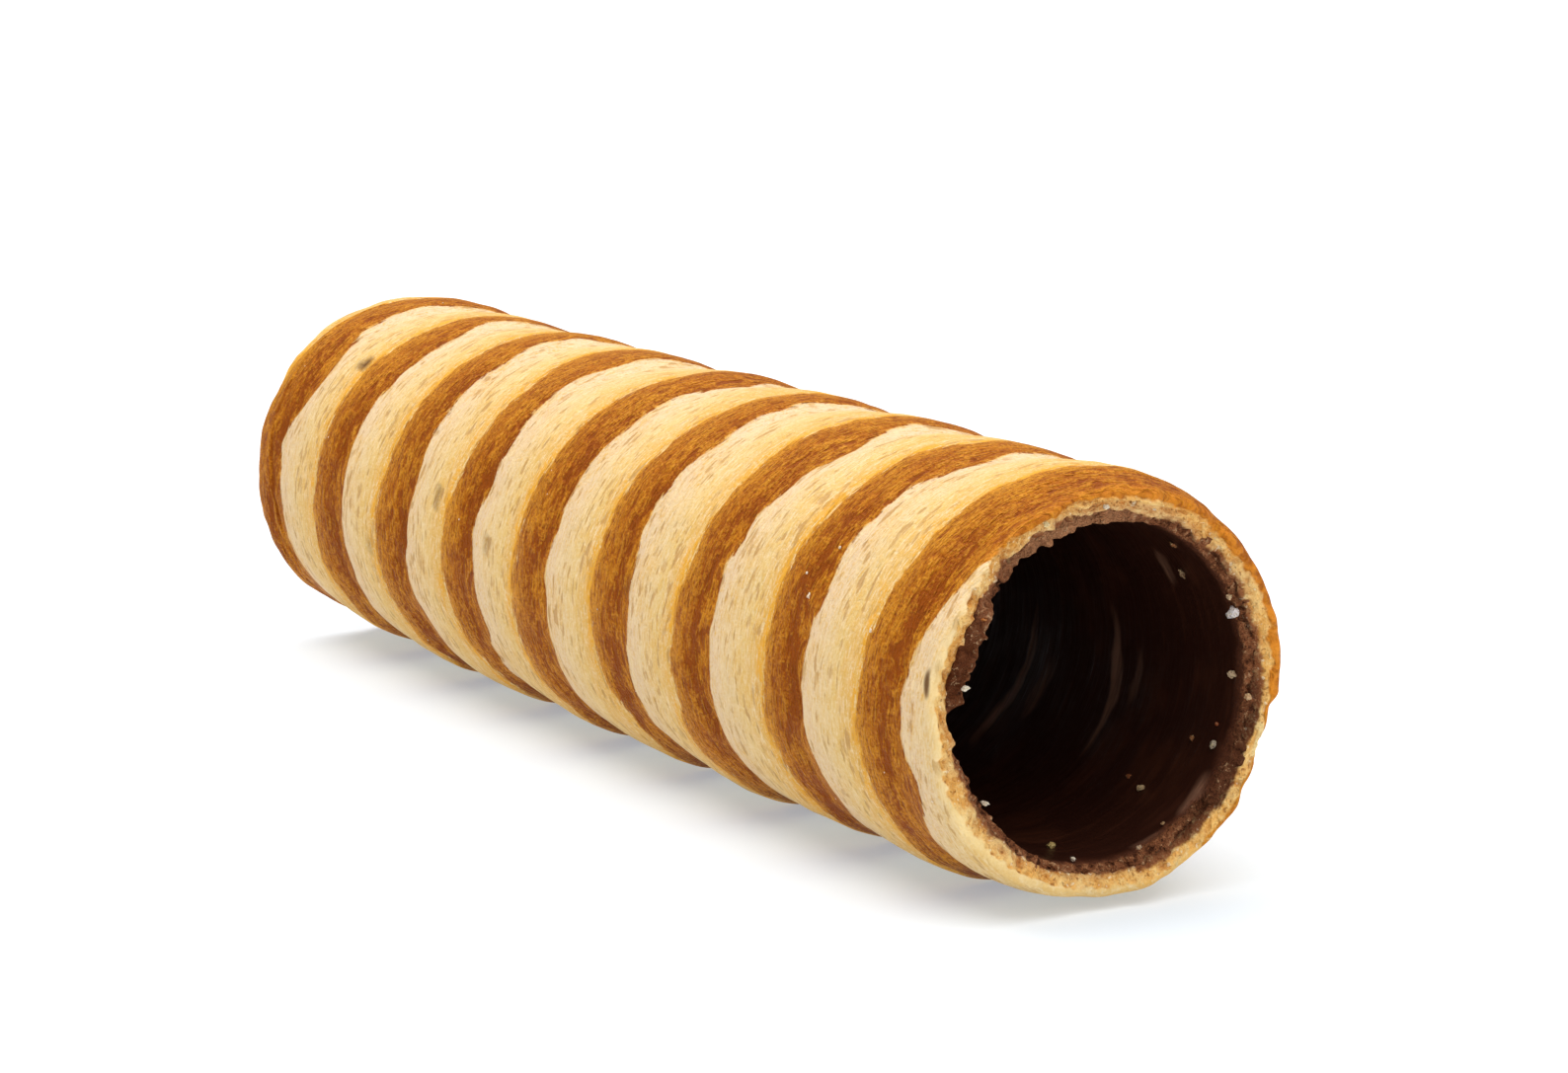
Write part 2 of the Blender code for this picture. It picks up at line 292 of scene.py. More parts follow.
class TubeForm:
    """Where the tube's surfaces stand, from the place along it and the angle round it."""

    # The wound turns, in shares of a turn.
    stripe_start_angle = math.radians(160)
    stray_brown_share = 0.43
    stray_length = 0.24
    crest_shift = 0.10
    crest_swing = 0.09
    crest_swing_angle = math.radians(73)
    crease_after_crest = 0.24
    # The course of the tube and its skin.
    belly = 0.06 * MM
    end_pinch = 0.12 * MM
    sag = 0.35 * MM
    flat_spot_depth = 0.38 * MM
    uneven_skin = 0.16 * MM
    dent_height = 0.06 * MM
    # Widths of the crease, in millimetres: on the turn that tucks under, and on the next one.
    tucked_width_mm = 0.55
    steep_width_mm = 0.22
    # The rims.
    rim_rounding = 4.5 * MM
    rim_draw_in = 0.48 * MM
    far_draw_in = 0.10 * MM
    face_depth = 0.9 * MM
    chip_depth = 0.6 * MM
    chip_length = 3.2 * MM
    # The chocolate coat.
    coat_gap = 0.3 * MM
    coat_in_wall = 0.03 * MM
    coat_raggedness = 0.5 * MM
    coat_advance = 0.35 * MM
    slab_reach = 0.72 * MM
    slab_extra = 0.7 * MM

    def __init__(self, sizes):
        self.length = sizes.tube_length
        self.half = 0.5 * sizes.tube_length
        self.skin = sizes.skin_radius
        self.bore = sizes.bore_radius
        self.pitch = sizes.turn_pitch
        self.ridge = sizes.ridge_height
        self.start = sizes.stripe_start
        self.brown_share = sizes.brown_share
        self.raggedness = sizes.rim_raggedness
        self.groove = sizes.groove_depth
        self.crease_depth = sizes.crease_depth
        self.fibre = sizes.fibre_depth
        self.crumb = sizes.crumb_depth
        self.recess = sizes.coat_recess
        self.coat_outside = self.bore + self.coat_in_wall
        self.coat_inside = self.bore - self.coat_gap - sizes.coat_thickness
        self.axis = self.skin + self.belly + 0.4 * self.ridge - self.flat_spot_depth

    def uneven(self, along, angle, size, seed):
        """Smooth noise on the wall, between about -1 and 1, without a seam."""
        round_radius = self.skin / size
        return 1.6 * noise.noise(
            Vector((along / size + seed, round_radius * math.cos(angle), round_radius * math.sin(angle))))

    def turns(self, along, angle):
        """Turns since a brown stripe began at the front."""
        return (along - self.start) / self.pitch + (angle - self.stripe_start_angle) / math.tau

    def crest_share(self, along, angle):
        swing = self.crest_swing * math.cos(angle - self.crest_swing_angle)
        return (self.turns(along, angle) - self.crest_shift - swing) % 1.0

    def turn_height(self, share):
        """Height of a wound turn, from 0 in the crease to 1 on the crest."""
        crease = self.crease_after_crest
        if share < crease:
            return math.cos(0.5 * math.pi * share / crease) ** 0.8
        return math.sin(0.5 * math.pi * (share - crease) / (1.0 - crease)) ** 0.8

    def axis_height(self, along):
        return self.axis + self.sag * (2.0 * along / self.length) ** 2

    def skin_offset(self, along, angle):
        """How far the outside stands from its mean radius, as the solid has it."""
        from_middle = 2.0 * along / self.length
        offset = self.belly - (self.belly + self.end_pinch) * from_middle ** 2
        near_end = self.half - abs(along)
        fade = smooth_step(near_end, 0.0, self.rim_rounding)
        height = self.turn_height(self.crest_share(along, angle))
        offset += self.ridge * (height - 0.6) * (0.4 + 0.6 * fade)
        offset -= (self.rim_draw_in if along > 0.0 else self.far_draw_in) * (1.0 - fade)
        offset += self.uneven_skin * self.uneven(along, angle, 9.0 * MM, 3.1)
        if along > 0.0:
            worn = 1.0 - smooth_step(near_end, 0.35 * self.chip_length, self.chip_length)
            offset -= self.chip_depth * worn * window(angle, math.radians(CHIP[0]), math.radians(CHIP[1]))
        return offset

    def skin_detail(self, along, angle):
        """Finer relief than the solid has: deeper creases, ribs round the tube and small dents."""
        near_end = self.half - abs(along)
        fade = smooth_step(near_end, 0.5 * MM, 3.0 * MM)
        detail = self.crease_depth * (self.turn_height(self.crest_share(along, angle)) - 1.0) * fade
        off_mm = self.off_crease(along, angle) * self.pitch / MM
        # The turn before a crease tucks under the next one: a soft side, then a steep one.
        width = self.tucked_width_mm if off_mm < 0.0 else self.steep_width_mm
        detail -= self.groove * self.crease_strength(along, angle) * math.exp(-((off_mm / width) ** 2)) * fade
        detail += self.dent_height * self.uneven(along, angle, 3.2 * MM, 31.0)
        swirl = math.tau * self.turns(along, angle)
        slow = 0.30 * along / MM + 0.34 * self.skin / MM * math.cos(angle + 0.6)
        ribs = noise.noise(Vector((3.4 * math.cos(swirl), 3.4 * math.sin(swirl), slow)))
        ribs += 0.6 * noise.noise(Vector((6.1 * math.cos(swirl), 6.1 * math.sin(swirl), 1.7 * slow + 40.0)))
        detail += self.fibre * ribs
        return detail

    def crease_stray(self, along, angle):
        """How far before its even turn a crease lies, in turns, so that it stays in the brown."""
        stray = 0.045 * smooth_step(math.cos(angle - math.radians(185)), 0.0, 0.6)
        stray += 0.13 * smooth_step(math.cos(angle - math.radians(5)), -0.1, 0.6)
        stray += 0.035 * self.uneven(along, angle, 5.0 * MM, 7.7)
        return stray + 0.045 * self.uneven(along, angle, 12.0 * MM, 27.7)

    def off_crease(self, along, angle):
        """Turns from the crease, between -0.5 and 0.5."""
        off = self.crest_share(along, angle) - self.crease_after_crest + self.crease_stray(along, angle)
        return (off + 0.5) % 1.0 - 0.5

    def crease_strength(self, along, angle):
        """How deep the crease is here: most at the front and the back, less between, and uneven along it."""
        share = 0.25 + 0.75 * smooth_step(math.cos(angle - math.radians(190)), 0.1, 0.9)
        share += 0.6 * smooth_step(math.cos(angle), 0.2, 0.9)
        return max(share * (0.8 + 0.8 * self.uneven(along, angle, 6.0 * MM, 17.0)), 0.08)

    def strays(self, along, angle):
        """How far the brown stripe's two edges stray from their even turn, in turns."""
        turns = self.turns(along, angle)
        degrees = math.degrees(angle)
        common = -0.03 + 0.035 * math.cos(angle - math.radians(100))
        out = [
            common + profile(degrees, 0.036, (95, 22, 0.04), (235, 36, 0.10)),
            common + profile(degrees, -0.075, (88, 20, -0.055), (207, 16, 0.062)),
        ]
        for edge, turn, centre, reach, amount in STRIPE_STRAYS:
            off = turns - turn - edge * self.stray_brown_share
            if abs(off) < 0.55:
                fall = (off / self.stray_length) ** 2 + ((degrees - centre) / reach) ** 2
                out[edge] += amount * math.exp(-fall)
        hidden = 1.0 - window(angle, math.radians(95), math.radians(215), math.radians(25))
        for edge in (0, 1):
            broad = self.uneven(along, angle, 6.5 * MM, 50.0 + 9.0 * edge)
            fine = self.uneven(along, angle, 1.7 * MM, 70.0 + 9.0 * edge)
            out[edge] += (0.012 + 0.026 * hidden) * broad + 0.011 * fine
        return out

    def ragged_end(self, along, angle, amount):
        """Moves the material near an end along the tube, so that the rim is uneven."""
        side = math.copysign(1.0, along)
        reach = 1.0 - smooth_step(self.half - abs(along), 0.0, self.rim_rounding)
        wander = self.uneven(0.0, angle, 5.0 * MM, 11.0 * side)
        wander += 0.5 * self.uneven(0.0, angle, 2.2 * MM, 23.0 * side)
        return side * reach * amount * (0.66 * wander - 0.15)

    def slab(self, along, angle):
        """1 on the slab of chocolate at the near rim, 0 elsewhere."""
        near = smooth_step(along, 0.36 * self.length, self.half - self.recess)
        degrees = math.degrees(angle)
        sides = smooth_step(degrees, SLAB[0] - 4.0, SLAB[0] + 20.0)
        return near * sides * (1.0 - smooth_step(degrees, SLAB[1] - 2.0, SLAB[1] + 2.0))

    def place(self, along, angle, radius):
        height = self.axis_height(along) + radius * math.sin(angle)
        return Vector((along, radius * math.cos(angle), height))


def angle_of(point):
    return math.atan2(point.z, point.y) % math.tau


# ---------------------------------------------------------------- modelling by hand

def deselect_all():
    if bpy.context.mode != "OBJECT":
        bpy.ops.object.mode_set(mode="OBJECT")
    bpy.ops.object.select_all(action="DESELECT")


def cut_where(piece, kind, test, cuts):
    """In edit mode, cuts the edges whose two ends pass a test, or the faces whose centre does."""
    body = bmesh.from_edit_mesh(piece.data)
    for part in (*body.verts, *body.edges, *body.faces):
        part.select = False
    for part in getattr(body, kind):
        places = [part.calc_center_median()] if kind == "faces" else [end.co for end in part.verts]
        if all(map(test, places)):
            part.select_set(True)
    if kind == "edges":
        body.select_flush_mode()
    bmesh.update_edit_mesh(piece.data)
    bpy.ops.mesh.subdivide(number_cuts=cuts)


def turned_section(name, along_from, along_to, inner, outer, cuts, steps):
    """Turns a rectangular section about the X axis, with its four sides cut finely.

    cuts gives the cuts of the outer, inner, low-end and high-end side.
    """
    deselect_all()
    bpy.ops.mesh.primitive_plane_add(size=1.0, enter_editmode=True, location=(0.0, 0.0, 0.0))
    piece = bpy.context.object
    piece.name = piece.data.name = name
    bpy.ops.mesh.select_all(action="SELECT")
    bpy.ops.transform.resize(value=(along_to - along_from, outer - inner, 1.0))
    bpy.ops.transform.translate(value=(0.5 * (along_from + along_to), 0.5 * (inner + outer), 0.0))
    bpy.ops.mesh.delete(type="ONLY_FACE")
    near = 0.01 * MM
    sides = (
        lambda point: point.y > outer - near,
        lambda point: point.y < inner + near,
        lambda point: point.x < along_from + near,
        lambda point: point.x > along_to - near,
    )
    for side, count in zip(sides, cuts):
        if count:
            cut_where(piece, "edges", side, count)
    bpy.ops.mesh.select_all(action="SELECT")
    bpy.ops.mesh.spin(
        steps=steps, angle=math.tau, center=(0.0, 0.0, 0.0), axis=(1.0, 0.0, 0.0), use_auto_merge=True)
    bpy.ops.mesh.select_all(action="SELECT")
    bpy.ops.mesh.remove_doubles(threshold=0.001 * MM)
    bpy.ops.mesh.normals_make_consistent(inside=False)
    bpy.ops.object.mode_set(mode="OBJECT")
    return piece


def keep_values(mesh, **layers):
    """Keeps a number, a vector or a colour for each point of a mesh, for its material to read."""
    for name, values in layers.items():
        kind, field, flat = "FLOAT", "value", values
        if isinstance(values[0], tuple):
            kind, field = ("FLOAT_VECTOR", "vector") if len(values[0]) == 3 else ("FLOAT_COLOR", "color")
            flat = [number for value in values for number in value]
        mesh.attributes.new(name, kind, "POINT").data.foreach_set(field, flat)


def unrolled(point):
    """A point's place along the tube, its radius and its angle, before it is shaped."""
    return point.co.x, math.hypot(point.co.y, point.co.z), angle_of(point.co)


def choose(pieces):
    """Selects these pieces alone, and makes the first one active."""
    deselect_all()
    for piece in pieces:
        piece.select_set(True)
    bpy.context.view_layer.objects.active = pieces[0]


def finish_piece(piece, material):
    piece.data.materials.clear()
    piece.data.materials.append(material)
    choose([piece])
    bpy.ops.object.shade_smooth()
    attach(piece, "root")
    deselect_all()


# ---------------------------------------------------------------- materials

class Flow:
    """A value, vector or colour inside a material. Sums on it add Math nodes."""

    def __init__(self, tree, socket):
        self.tree = tree
        self.socket = socket

    def node(self, kind, settings, inputs, output=0):
        """Adds any node: its settings first, then the values or links of its sockets."""
        added = self.tree.nodes.new(kind)
        for name, value in settings.items():
            if name == "stops":
                ramp = added.color_ramp
                while len(ramp.elements) < len(value):
                    ramp.elements.new(0.5)
                for element, (position, shade) in zip(ramp.elements, value):
                    element.position = position
                    element.color = (*shade, 1.0)
            else:
                setattr(added, name, value)
        for key, value in inputs.items():
            if isinstance(value, Flow):
                self.tree.links.new(value.socket, added.inputs[key])
            else:
                added.inputs[key].default_value = value
        return Flow(self.tree, added.outputs[output])

    def math(self, operation, *values):
        return self.node("ShaderNodeMath", {"operation": operation}, dict(enumerate(values)))

    def __add__(self, other):
        return self.math("ADD", self, other)

    __radd__ = __add__

    def __sub__(self, other):
        return self.math("SUBTRACT", self, other)

    def __rsub__(self, other):
        return self.math("SUBTRACT", other, self)

    def __mul__(self, other):
        return self.math("MULTIPLY", self, other)

    __rmul__ = __mul__

    def __truediv__(self, other):
        return self.math("DIVIDE", self, other)

    def sine(self):
        return self.math("SINE", self)

    def cosine(self):
        return self.math("COSINE", self)

    def fraction(self):
        return self.math("FRACT", self)

    def power(self, exponent):
        return self.math("POWER", self, exponent)

    def larger(self, other):
        return self.math("MAXIMUM", self, other)

    def smooth(self, start, end, low=0.0, high=1.0, way="SMOOTHSTEP"):
        """Runs smoothly from low to high as the value goes from start to end."""
        values = {"Value": self, "From Min": start, "From Max": end, "To Min": low, "To Max": high}
        return self.node("ShaderNodeMapRange", {"interpolation_type": way}, values)

    def linear(self, low, high):
        """Runs evenly from low to high as the value goes from 0 to 1."""
        return self.smooth(0.0, 1.0, low, high, "LINEAR")

    def split(self):
        """The three parts of a vector."""
        parted = self.node("ShaderNodeSeparateXYZ", {}, {0: self}).socket.node
        return [Flow(self.tree, parted.outputs[index]) for index in range(3)]

    def joined(self, first, second, third):
        return self.node("ShaderNodeCombineXYZ", {}, {0: first, 1: second, 2: third})

    def times(self, x, y, z):
        """A vector with each part multiplied by its own number."""
        return self.node("ShaderNodeVectorMath", {"operation": "MULTIPLY"}, {0: self, 1: (x, y, z)})

    def noise(self, scale=1.0, detail=2.0, roughness=0.5, fourth=None):
        """Noise round zero; two thirds of it lie between -0.5 and 0.5."""
        inputs = {"Vector": self, "Scale": scale, "Detail": detail, "Roughness": roughness}
        dimensions = "3D"
        if fourth is not None:
            inputs["W"] = fourth
            dimensions = "4D"
        made = self.node("ShaderNodeTexNoise", {"noise_dimensions": dimensions}, inputs)
        return (made - 0.5) * (4.2 + 1.1 * detail)

    def mix(self, first, second, how="MIX"):
        """Colours mixed by this value."""
        inputs = {0: self}
        for index, value in ((6, first), (7, second)):
            inputs[index] = value if isinstance(value, Flow) else (*value, 1.0)
        settings = {"data_type": "RGBA", "blend_type": how, "clamp_factor": True}
        return self.node("ShaderNodeMix", settings, inputs, 2)

    def attribute(self, name, output):
        return self.node("ShaderNodeAttribute", {"attribute_name": name}, {}, output)


def new_material(name, roughness, specular, tint=(1.0, 1.0, 1.0)):
    """A material with one Principled shader, and the piece's own coordinates in millimetres."""
    material = bpy.data.materials.new(name)
    material.use_nodes = True
    tree = material.node_tree
    shader = tree.nodes["Principled BSDF"]
    shader.inputs["Roughness"].default_value = roughness
    shader.inputs["Specular IOR Level"].default_value = specular
    shader.inputs["Specular Tint"].default_value = (*tint, 1.0)
    per_mm = 1.0 / MM
    place = Flow(tree, None).node("ShaderNodeTexCoord", {}, {}, "Object").times(per_mm, per_mm, per_mm)
    return material, shader, place


def connect(shader, **flows):
    """Links flows to the shader's sockets; a socket's name has its space as an underscore."""
    for name, flow in flows.items():
        flow.tree.links.new(flow.socket, shader.inputs[name.replace("_", " ")])


def bumped(height, depth):
    """A normal from a height in shares of depth, in metres."""
    return height.node("ShaderNodeBump", {}, {"Height": height, "Distance": depth, "Strength": 1.0})


def skin_layers(place, form, colours):
    """Colour, height and roughness of the striped skin.

    In smooth(a, b, 0, s) a noise between a and b fades a tone in, up to its strength s.
    """
    along, side, up = place.split()
    stretch = along * (2.0 * MM / form.length)
    up = up - (form.axis / MM) - stretch * stretch * (form.sag / MM)
    angle = up.math("ARCTAN2", up, side)
    first_turn = form.start / MM / (form.pitch / MM) + form.stripe_start_angle / math.tau
    turns = along / (form.pitch / MM) + angle / math.tau - first_turn
    swirl = turns * math.tau
    east, north = swirl.cosine(), swirl.sine()

    def ribs(across, length, detail, shift):
        """Noise in streaks that follow the wound dough; their width and length are in millimetres."""
        ring = form.pitch / MM / math.tau / across
        slow = (side + along * 0.6) * (1.0 / length) + shift
        vector = place.joined(east * ring, north * ring, slow)
        return vector.noise(1.0, detail, 0.55, fourth=up * (1.0 / length))

    fine = ribs(0.17, 0.85, 2.0, 0.0)
    wide = ribs(0.60, 2.6, 2.0, 20.0)
    strand = ribs(0.13, 0.7, 1.0, 60.0)
    hollow = ribs(0.46, 1.3, 0.0, 40.0)
    dimple = ribs(0.62, 1.9, 0.0, 80.0)
    patch = place.times(0.42, 0.24, 0.24).noise(1.0, 2.0, 0.5)
    grain = place.noise(4.6, 2.0, 0.6)
    strays = place.attribute("strays", "Vector").split()
    creased = place.attribute("crease", "Fac")
    edge = place.attribute("edge_bake", "Fac")

    # The stripe's own scale: 0 where it begins, brown_end where it ends.
    share = (turns - strays[0] + 0.25).fraction() - 0.25
    brown_end = strays[1] - strays[0] + form.brown_share
    starts = share + fine * 0.014 + wide * 0.018 + grain * 0.004
    ends = share - brown_end + fine * 0.010 + wide * 0.010 + grain * 0.004
    not_ended = ends.smooth(-0.010, 0.010, 1.0, 0.0)
    is_brown = starts.smooth(0.004, 0.026) * not_ended
    across_cream = (share - brown_end).fraction() / (1.0 - form.brown_share)

    # Cream: cool after a brown stripe, then yellower, with soft oval pores.
    toned = across_cream + fine * 0.05 + wide * 0.10
    stops = (
        (0.0, colours.cream_cool), (0.16, colours.cream_cool), (0.42, colours.cream_pale),
        (0.80, colours.cream_warm), (0.97, colours.cream_baked))
    cream = toned.node("ShaderNodeValToRGB", {"stops": stops}, {0: toned})
    baked = patch.smooth(-0.1, 0.9, 0.0, 0.30) + fine.smooth(0.0, 1.0, 0.0, 0.52)
    baked = baked + grain.smooth(0.0, 1.1, 0.0, 0.42)
    cream = baked.mix(cream, colours.cream_baked)
    lit = wide.smooth(0.0, 0.9, 0.0, 0.34) + fine.smooth(-0.1, -1.0, 0.0, 0.62)
    lit = lit + grain.smooth(0.0, -1.1, 0.0, 0.46)
    cream = lit.mix(cream, colours.cream_light)
    pores = (hollow + patch * 0.25 + fine * 0.25 + grain * 0.10).smooth(0.48, 1.15)
    pores = pores.larger((dimple + patch * 0.2 + fine * 0.2 + grain * 0.10).smooth(0.68, 1.30) * 0.8)
    cream = (pores * 0.75).mix(cream, colours.pore)
    golden = (starts + grain * 0.008).smooth(-0.10, -0.004) * starts.smooth(0.06, 0.12, 1.0, 0.0)
    golden = golden * (wide + strand * 0.4 + grain * 0.4 + patch * 0.4).smooth(-0.6, 0.6, 0.05, 0.95)
    cream = golden.mix(cream, colours.golden)
    # Painted highlight on the cream where the skin rounds over the rim.
    cream = (edge * 0.8).mix(cream, colours.cream_edge_highlight)

    # Brown: light where it begins, with golden strands, dark pits and painted shade along the crease.
    crest = turns - form.crest_shift - (angle - form.crest_swing_angle).cosine() * form.crest_swing
    off_crease = (crest - form.crease_after_crest + strays[2] + 0.5).fraction() - 0.5
    off_crease = off_crease + wide * 0.018 + fine * 0.006
    # Painted shade just before the crease, with a broader faint band, deeper where the crease is deeper.
    before = off_crease.smooth(-0.105, -0.008) * off_crease.smooth(0.0, 0.020, 1.0, 0.0)
    broad = off_crease.smooth(-0.18, -0.03) * off_crease.smooth(0.0, 0.08, 1.0, 0.0)
    crease_shade = (before * 0.74 + broad * 0.14) * creased * (fine + grain * 0.5).smooth(-1.0, 1.0, 1.25, 0.55)
    first_part = starts.smooth(0.02, 0.14, 0.7, 0.0)
    light = fine.smooth(-0.1, 1.0, 0.0, 0.5) + wide.smooth(0.0, 0.9, 0.0, 0.3)
    light = light + patch.smooth(-0.2, 0.9, 0.0, 0.3)
    light = light + grain.smooth(0.0, 1.2, 0.0, 0.52) + strand.smooth(-0.2, -1.1, 0.0, 0.2)
    brown = (light + first_part).mix(colours.brown, colours.brown_light)
    brown = (strand.smooth(0.25, 0.95, 0.0, 0.6)).mix(brown, colours.strand)
    later = (share / form.brown_share).smooth(0.0, 0.7, 0.35, 0.9)
    pits = (hollow + wide * 0.3 - patch * 0.15 + fine * 0.2).smooth(0.38, 0.85) * later
    dark = fine.smooth(-0.1, -1.0, 0.0, 0.55) + wide.smooth(0.0, -0.9, 0.0, 0.38)
    dark = dark + grain.smooth(0.1, -1.1, 0.0, 0.46)
    brown = (dark + pits * 0.9 + crease_shade).mix(brown, colours.brown_dark_and_crease_shade)
    brown = (edge * strand.smooth(-0.9, 0.6, 0.2, 0.8)).mix(brown, colours.golden_edge)

    shade = is_brown.mix(cream, brown)
    spots = place.attribute("spots", "Fac")
    shade = spots.mix(shade, colours.spot)

    height = fine * (is_brown * 0.13 + 0.08) + wide * 0.10 + strand * (is_brown * 0.07 + 0.03)
    height = height + grain * (is_brown * 0.03 + 0.05)
    height = height - pores * (1.0 - is_brown) * 0.24 - pits * is_brown * 0.28 - spots * 0.3
    gloss = is_brown.linear(0.68, 0.55) - fine * 0.05
    return shade, height, gloss


def dough_material(form, colours):
    """The skin, and on the rims the broken crumb where the piece marks it."""
    material, shader, place = new_material("striped_dough", 0.55, 0.16, WARM_GLINT)
    skin, skin_height, skin_gloss = skin_layers(place, form, colours)
    is_crumb = place.attribute("crumb", "Fac")
    tint = place.attribute("crumb_tint", "Color")
    grain = place.noise(1.7, 3.0, 0.6)
    fine = place.noise(6.0, 1.0, 0.5)
    pale = tint.split()[0].smooth(0.15, 0.6, 0.25, 1.0)
    # Painted highlight on the raised crumb, then painted shadow in its low places.
    raised = grain.smooth(0.1, 1.2, 0.0, 0.36) + fine.smooth(0.2, 1.2, 0.0, 0.25)
    crumb = (pale * raised).mix(tint, colours.crumb_pale_and_highlight)
    dark = grain.smooth(-0.2, -1.3, 0.0, 0.40) + fine.smooth(-0.3, -1.2, 0.0, 0.30)
    crumb = dark.mix(crumb, CRUMB_SHADOW, "MULTIPLY")
    bits = place.noise(2.6, 1.0, 0.5)
    crumb = (pale * bits.smooth(0.85, 1.15, 0.0, 0.5)).mix(crumb, PALE_BITS)
    # Painted shade of small hollows.
    crumb = bits.smooth(-0.85, -1.15, 0.0, 0.6).mix(crumb, CRUMB_HOLLOW_SHADE, "MULTIPLY")
    height = is_crumb * (grain * 0.20 + fine * 0.07) + (1.0 - is_crumb) * skin_height
    connect(
        shader,
        Base_Color=is_crumb.mix(skin, crumb),
        Roughness=is_crumb * 0.85 + (1.0 - is_crumb) * skin_gloss,
        Normal=bumped(height, 0.35 * MM),
    )
    return material


def chocolate_material(form, colours):
    """Smooth dark chocolate inside, matte with painted light near its ends, and bruised where it is broken,
    with a painted highlight at the top of the break.
    """
    material, shader, place = new_material("chocolate_finish", colours.gloss, 0.16, COCOA_GLINT)
    broken = place.attribute("broken", "Fac")
    dull = place.attribute("dull", "Fac")
    along, side, up = place.split()
    angle = up.math("ARCTAN2", up - form.axis / MM, side)
    cloud = place.times(0.28, 0.16, 0.16).noise(1.0, 2.0, 0.55)
    streak = place.times(1.6, 0.18, 0.18).noise(1.0, 3.0, 0.6)
    grain = place.noise(4.0, 2.0, 0.6)
    thin = cloud.smooth(0.0, 1.1, 0.0, 0.6) + streak.smooth(0.2, 1.2, 0.0, 0.4)
    smooth = thin.mix(colours.smooth, colours.warm)

    def turned_from(degrees, reach):
        """Zero at an angle round the bore and 1 at its reach, in degrees."""
        return (angle - math.radians(degrees)) * (1.0 / math.radians(reach))

    # Painted highlight streaks on the glossy chocolate, one along each listed streak.
    highlight_streaks = None
    for at_mm, degrees, reach, slant, strength in BORE_HIGHLIGHT_STREAKS:
        off_round = turned_from(degrees, reach)
        off_along = along - at_mm - off_round * slant + cloud * 0.5
        line = (off_along * off_along * 1.6 + off_round * off_round).smooth(0.0, 1.0, strength, 0.0)
        highlight_streaks = line if highlight_streaks is None else highlight_streaks + line
    smooth = (highlight_streaks * streak.smooth(-1.0, 0.6, 0.5, 1.0)).mix(smooth, colours.mark)
    # Painted light near the open ends, where the chocolate is also duller.
    smooth = (dull * grain.smooth(-1.0, 0.8, 0.6, 1.0)).mix(smooth, colours.dull)
    lump = place.noise(1.3, 3.0, 0.6)
    rough = (grain * 0.6 + lump).smooth(0.0, 1.4, 0.0, 0.85).mix(colours.broken, colours.bruised_and_highlight)
    rough = (grain * 0.6 + lump).smooth(-0.2, -1.4, 0.0, 0.9).mix(rough, colours.warm)
    # The broken edge has a painted highlight at the top and is darker low down, and the slab is dark behind
    # its edge.
    from_top = turned_from(103.0, 30.0)
    rough = (from_top * from_top).smooth(0.0, 1.2, 0.65, 0.0).mix(rough, colours.bruised_and_highlight)
    from_low = turned_from(-32.0, 26.0)
    rough = (from_low * from_low).smooth(0.0, 1.4, 0.7, 0.0).mix(rough, colours.warm)
    from_slab = turned_from(164.0, 18.0)
    up = up - form.axis / MM
    radius = (side * side + up * up).power(0.5) + lump * 0.35
    on_slab = (from_slab * from_slab).smooth(0.0, 1.4, 0.85, 0.0) * radius.smooth(11.35, 11.8)
    rough = on_slab.mix(rough, SLAB_BROWN)
    rough = (lump * 0.5 + grain * 0.7).smooth(0.75, 1.05, 0.0, 0.7).mix(rough, CHOCOLATE_BITS)
    rough_height = grain * 0.4 + lump * 0.5
    smooth_height = streak * 0.03 + cloud * 0.06 + dull * grain * 0.12
    height = broken * rough_height + (1.0 - broken) * smooth_height
    connect(
        shader,
        Base_Color=broken.mix(smooth, rough),
        Roughness=broken.linear(colours.gloss, 0.8) + dull * 0.35 + streak * 0.04,
        Normal=bumped(height, 0.3 * MM),
    )
    return material


def crumb_material(colours):
    """Loose crumbs, each with its own tint."""
    material, shader, place = new_material("loose_crumb", 0.8, 0.2)
    tint = place.attribute("tint", "Color")
    grain = place.noise(6.0, 2.0, 0.6)
    # Painted highlight on the raised grain and painted shade in the low grain.
    shade = grain.smooth(0.1, 1.2, 0.0, 0.5).mix(tint, colours.crumb_pale_and_highlight)
    shade = grain.smooth(-0.2, -1.3, 0.0, 0.5).mix(shade, colours.crumb_pit_shade)
    connect(shader, Base_Color=shade, Normal=bumped(grain, 0.05 * MM))
    return material


def fleck_material():
    """White grains baked on to the skin."""
    material, shader, place = new_material("white_fleck", 0.6, 0.2)
    grain = place.noise(9.0, 2.0, 0.5)
    shade = grain.smooth(-1.0, 0.8).mix(*FLECK_SHADES)
    connect(shader, Base_Color=shade, Normal=bumped(grain, 0.02 * MM))
    return material


def floor_material():
    material, shader, place = new_material("pale_floor", 0.9, 0.0)
    grain = place.noise(0.05, 2.0, 0.5)
    connect(shader, Base_Color=grain.smooth(-1.0, 1.0).mix(*FLOOR_SHADES))
    shader.inputs["Emission Color"].default_value = (0.85, 1.0, 1.12, 1.0)
    shader.inputs["Emission Strength"].default_value = 0.34
    return material


# ---------------------------------------------------------------- pieces

